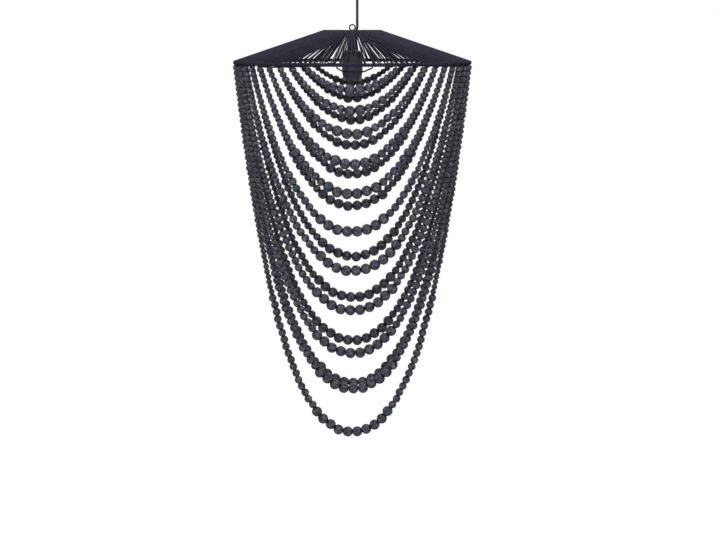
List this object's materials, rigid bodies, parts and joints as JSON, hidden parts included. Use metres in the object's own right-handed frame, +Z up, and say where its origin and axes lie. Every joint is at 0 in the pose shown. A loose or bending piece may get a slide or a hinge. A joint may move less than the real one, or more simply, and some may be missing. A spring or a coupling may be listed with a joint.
{
  "type": "beaded chandelier",
  "caption": "Pendant lamp with a shallow string-wound cone on two wire rings and graded wooden bead strands hanging in deep swags below it, on a short cord from a ceiling rose.",
  "frame": {"origin": "middle of the ceiling rose's top face, on the ceiling plane", "axes": "+Z up towards the ceiling; -Y towards the viewer, with the strands' planes across the view; +X to the viewer's right, the side of the eyelet that the cord passes"},
  "size_m": [0.4824, 0.4807, 0.9539],
  "materials": {
    "stained_wood": "matt charcoal stain",
    "string": "twisted cotton string, charcoal",
    "black_paint": "matt black powder coat",
    "black_plastic": "satin",
    "white_plastic": "satin",
    "cord_sleeve": "fine black braid",
    "brass": "plain"
  },
  "bodies": {
    "rose": {"rose_canopy": "black_paint", "rose_bracket": "black_paint", "rose_cord_grip": "black_plastic", "rose_screw_left": "brass", "rose_screw_right": "brass", "terminal_block": "white_plastic", "cord_in_rose": "cord_sleeve"},
    "cord_head": {"cord_head": "cord_sleeve"},
    "cord_neck": {"cord_neck": "cord_sleeve"},
    "pendant": {"power_cord": "cord_sleeve", "lower_ring": "black_paint", "top_ring": "black_paint", "frame_strut_1": "black_paint", "frame_strut_2": "black_paint", "frame_strut_3": "black_paint", "frame_strut_4": "black_paint", "frame_strut_5": "black_paint", "frame_strut_6": "black_paint", "hanger_bar": "black_paint", "hanging_eyelet": "black_paint", "frame_spider": "black_paint", "string_winding": "string", "lampholder_cap": "black_plastic", "lampholder_body": "black_plastic", "strain_relief": "black_plastic", "shade_ring_nut": "black_plastic", "contact_insulator": "white_plastic", "screw_shell": "brass", "centre_contact": "brass"},
    "front_strand_1": {"front_strand_1": "stained_wood"},
    "front_strand_2": {"front_strand_2": "stained_wood"},
    "front_strand_3": {"front_strand_3": "stained_wood"},
    "front_strand_4": {"front_strand_4": "stained_wood"},
    "front_strand_5": {"front_strand_5": "stained_wood"},
    "front_strand_6": {"front_strand_6": "stained_wood"},
    "front_strand_7": {"front_strand_7": "stained_wood"},
    "front_strand_8": {"front_strand_8": "stained_wood"},
    "front_strand_9": {"front_strand_9": "stained_wood"},
    "front_strand_10": {"front_strand_10": "stained_wood"},
    "centre_strand": {"centre_strand": "stained_wood"},
    "back_strand_10": {"back_strand_10": "stained_wood"},
    "back_strand_9": {"back_strand_9": "stained_wood"},
    "back_strand_8": {"back_strand_8": "stained_wood"},
    "back_strand_7": {"back_strand_7": "stained_wood"},
    "back_strand_6": {"back_strand_6": "stained_wood"},
    "back_strand_5": {"back_strand_5": "stained_wood"},
    "back_strand_4": {"back_strand_4": "stained_wood"},
    "back_strand_3": {"back_strand_3": "stained_wood"},
    "back_strand_2": {"back_strand_2": "stained_wood"},
    "back_strand_1": {"back_strand_1": "stained_wood"}
  },
  "joints": [
    {"name": "pendant_swing_fore_aft", "type": "hinge", "parent": "rose", "child": "cord_head", "pos_m": [0, 0, -0.0369], "axis": [1, 0, 0], "range_deg": [-20, 20]},
    {"name": "pendant_swing_sideways", "type": "hinge", "parent": "cord_head", "child": "cord_neck", "pos_m": [0, 0, -0.0369], "axis": [0, 1, 0], "range_deg": [-20, 20]},
    {"name": "pendant_turn", "type": "hinge", "parent": "cord_neck", "child": "pendant", "pos_m": [0, 0, -0.0369], "axis": [0, 0, 1], "range_deg": [-90, 90]},
    {"name": "centre_strand_sway", "type": "hinge", "parent": "pendant", "child": "centre_strand", "pos_m": [-0.0099, 0, -0.179], "axis": [1, 0, 0], "range_deg": [-15, 15]},
    {"name": "front_strand_1_sway", "type": "hinge", "parent": "pendant", "child": "front_strand_1", "pos_m": [-0.0099, -0.21697, -0.179], "axis": [1, 0, 0], "range_deg": [-15, 15]},
    {"name": "front_strand_2_sway", "type": "hinge", "parent": "pendant", "child": "front_strand_2", "pos_m": [-0.0099, -0.20464, -0.179], "axis": [1, 0, 0], "range_deg": [-15, 15]},
    {"name": "front_strand_3_sway", "type": "hinge", "parent": "pendant", "child": "front_strand_3", "pos_m": [-0.0099, -0.18954, -0.179], "axis": [1, 0, 0], "range_deg": [-15, 15]},
    {"name": "front_strand_4_sway", "type": "hinge", "parent": "pendant", "child": "front_strand_4", "pos_m": [-0.0099, -0.17188, -0.179], "axis": [1, 0, 0], "range_deg": [-15, 15]},
    {"name": "front_strand_5_sway", "type": "hinge", "parent": "pendant", "child": "front_strand_5", "pos_m": [-0.0099, -0.15189, -0.179], "axis": [1, 0, 0], "range_deg": [-15, 15]},
    {"name": "front_strand_6_sway", "type": "hinge", "parent": "pendant", "child": "front_strand_6", "pos_m": [-0.0099, -0.12985, -0.179], "axis": [1, 0, 0], "range_deg": [-15, 15]},
    {"name": "front_strand_7_sway", "type": "hinge", "parent": "pendant", "child": "front_strand_7", "pos_m": [-0.0099, -0.10605, -0.179], "axis": [1, 0, 0], "range_deg": [-15, 15]},
    {"name": "front_strand_8_sway", "type": "hinge", "parent": "pendant", "child": "front_strand_8", "pos_m": [-0.0099, -0.08082, -0.179], "axis": [1, 0, 0], "range_deg": [-15, 15]},
    {"name": "front_strand_9_sway", "type": "hinge", "parent": "pendant", "child": "front_strand_9", "pos_m": [-0.0099, -0.05449, -0.179], "axis": [1, 0, 0], "range_deg": [-15, 15]},
    {"name": "front_strand_10_sway", "type": "hinge", "parent": "pendant", "child": "front_strand_10", "pos_m": [-0.0099, -0.02743, -0.179], "axis": [1, 0, 0], "range_deg": [-15, 15]},
    {"name": "back_strand_10_sway", "type": "hinge", "parent": "pendant", "child": "back_strand_10", "pos_m": [-0.0099, 0.02743, -0.179], "axis": [1, 0, 0], "range_deg": [-15, 15]},
    {"name": "back_strand_9_sway", "type": "hinge", "parent": "pendant", "child": "back_strand_9", "pos_m": [-0.0099, 0.05449, -0.179], "axis": [1, 0, 0], "range_deg": [-15, 15]},
    {"name": "back_strand_8_sway", "type": "hinge", "parent": "pendant", "child": "back_strand_8", "pos_m": [-0.0099, 0.08082, -0.179], "axis": [1, 0, 0], "range_deg": [-15, 15]},
    {"name": "back_strand_7_sway", "type": "hinge", "parent": "pendant", "child": "back_strand_7", "pos_m": [-0.0099, 0.10605, -0.179], "axis": [1, 0, 0], "range_deg": [-15, 15]},
    {"name": "back_strand_6_sway", "type": "hinge", "parent": "pendant", "child": "back_strand_6", "pos_m": [-0.0099, 0.12985, -0.179], "axis": [1, 0, 0], "range_deg": [-15, 15]},
    {"name": "back_strand_5_sway", "type": "hinge", "parent": "pendant", "child": "back_strand_5", "pos_m": [-0.0099, 0.15189, -0.179], "axis": [1, 0, 0], "range_deg": [-15, 15]},
    {"name": "back_strand_4_sway", "type": "hinge", "parent": "pendant", "child": "back_strand_4", "pos_m": [-0.0099, 0.17188, -0.179], "axis": [1, 0, 0], "range_deg": [-15, 15]},
    {"name": "back_strand_3_sway", "type": "hinge", "parent": "pendant", "child": "back_strand_3", "pos_m": [-0.0099, 0.18954, -0.179], "axis": [1, 0, 0], "range_deg": [-15, 15]},
    {"name": "back_strand_2_sway", "type": "hinge", "parent": "pendant", "child": "back_strand_2", "pos_m": [-0.0099, 0.20464, -0.179], "axis": [1, 0, 0], "range_deg": [-15, 15]},
    {"name": "back_strand_1_sway", "type": "hinge", "parent": "pendant", "child": "back_strand_1", "pos_m": [-0.0099, 0.21697, -0.179], "axis": [1, 0, 0], "range_deg": [-15, 15]}
  ],
  "couplings": [
    {"joint": "front_strand_1_sway", "follows": "centre_strand_sway", "ratio": 1},
    {"joint": "front_strand_2_sway", "follows": "centre_strand_sway", "ratio": 1},
    {"joint": "front_strand_3_sway", "follows": "centre_strand_sway", "ratio": 1},
    {"joint": "front_strand_4_sway", "follows": "centre_strand_sway", "ratio": 1},
    {"joint": "front_strand_5_sway", "follows": "centre_strand_sway", "ratio": 1},
    {"joint": "front_strand_6_sway", "follows": "centre_strand_sway", "ratio": 1},
    {"joint": "front_strand_7_sway", "follows": "centre_strand_sway", "ratio": 1},
    {"joint": "front_strand_8_sway", "follows": "centre_strand_sway", "ratio": 1},
    {"joint": "front_strand_9_sway", "follows": "centre_strand_sway", "ratio": 1},
    {"joint": "front_strand_10_sway", "follows": "centre_strand_sway", "ratio": 1},
    {"joint": "back_strand_10_sway", "follows": "centre_strand_sway", "ratio": 1},
    {"joint": "back_strand_9_sway", "follows": "centre_strand_sway", "ratio": 1},
    {"joint": "back_strand_8_sway", "follows": "centre_strand_sway", "ratio": 1},
    {"joint": "back_strand_7_sway", "follows": "centre_strand_sway", "ratio": 1},
    {"joint": "back_strand_6_sway", "follows": "centre_strand_sway", "ratio": 1},
    {"joint": "back_strand_5_sway", "follows": "centre_strand_sway", "ratio": 1},
    {"joint": "back_strand_4_sway", "follows": "centre_strand_sway", "ratio": 1},
    {"joint": "back_strand_3_sway", "follows": "centre_strand_sway", "ratio": 1},
    {"joint": "back_strand_2_sway", "follows": "centre_strand_sway", "ratio": 1},
    {"joint": "back_strand_1_sway", "follows": "centre_strand_sway", "ratio": 1}
  ]
}
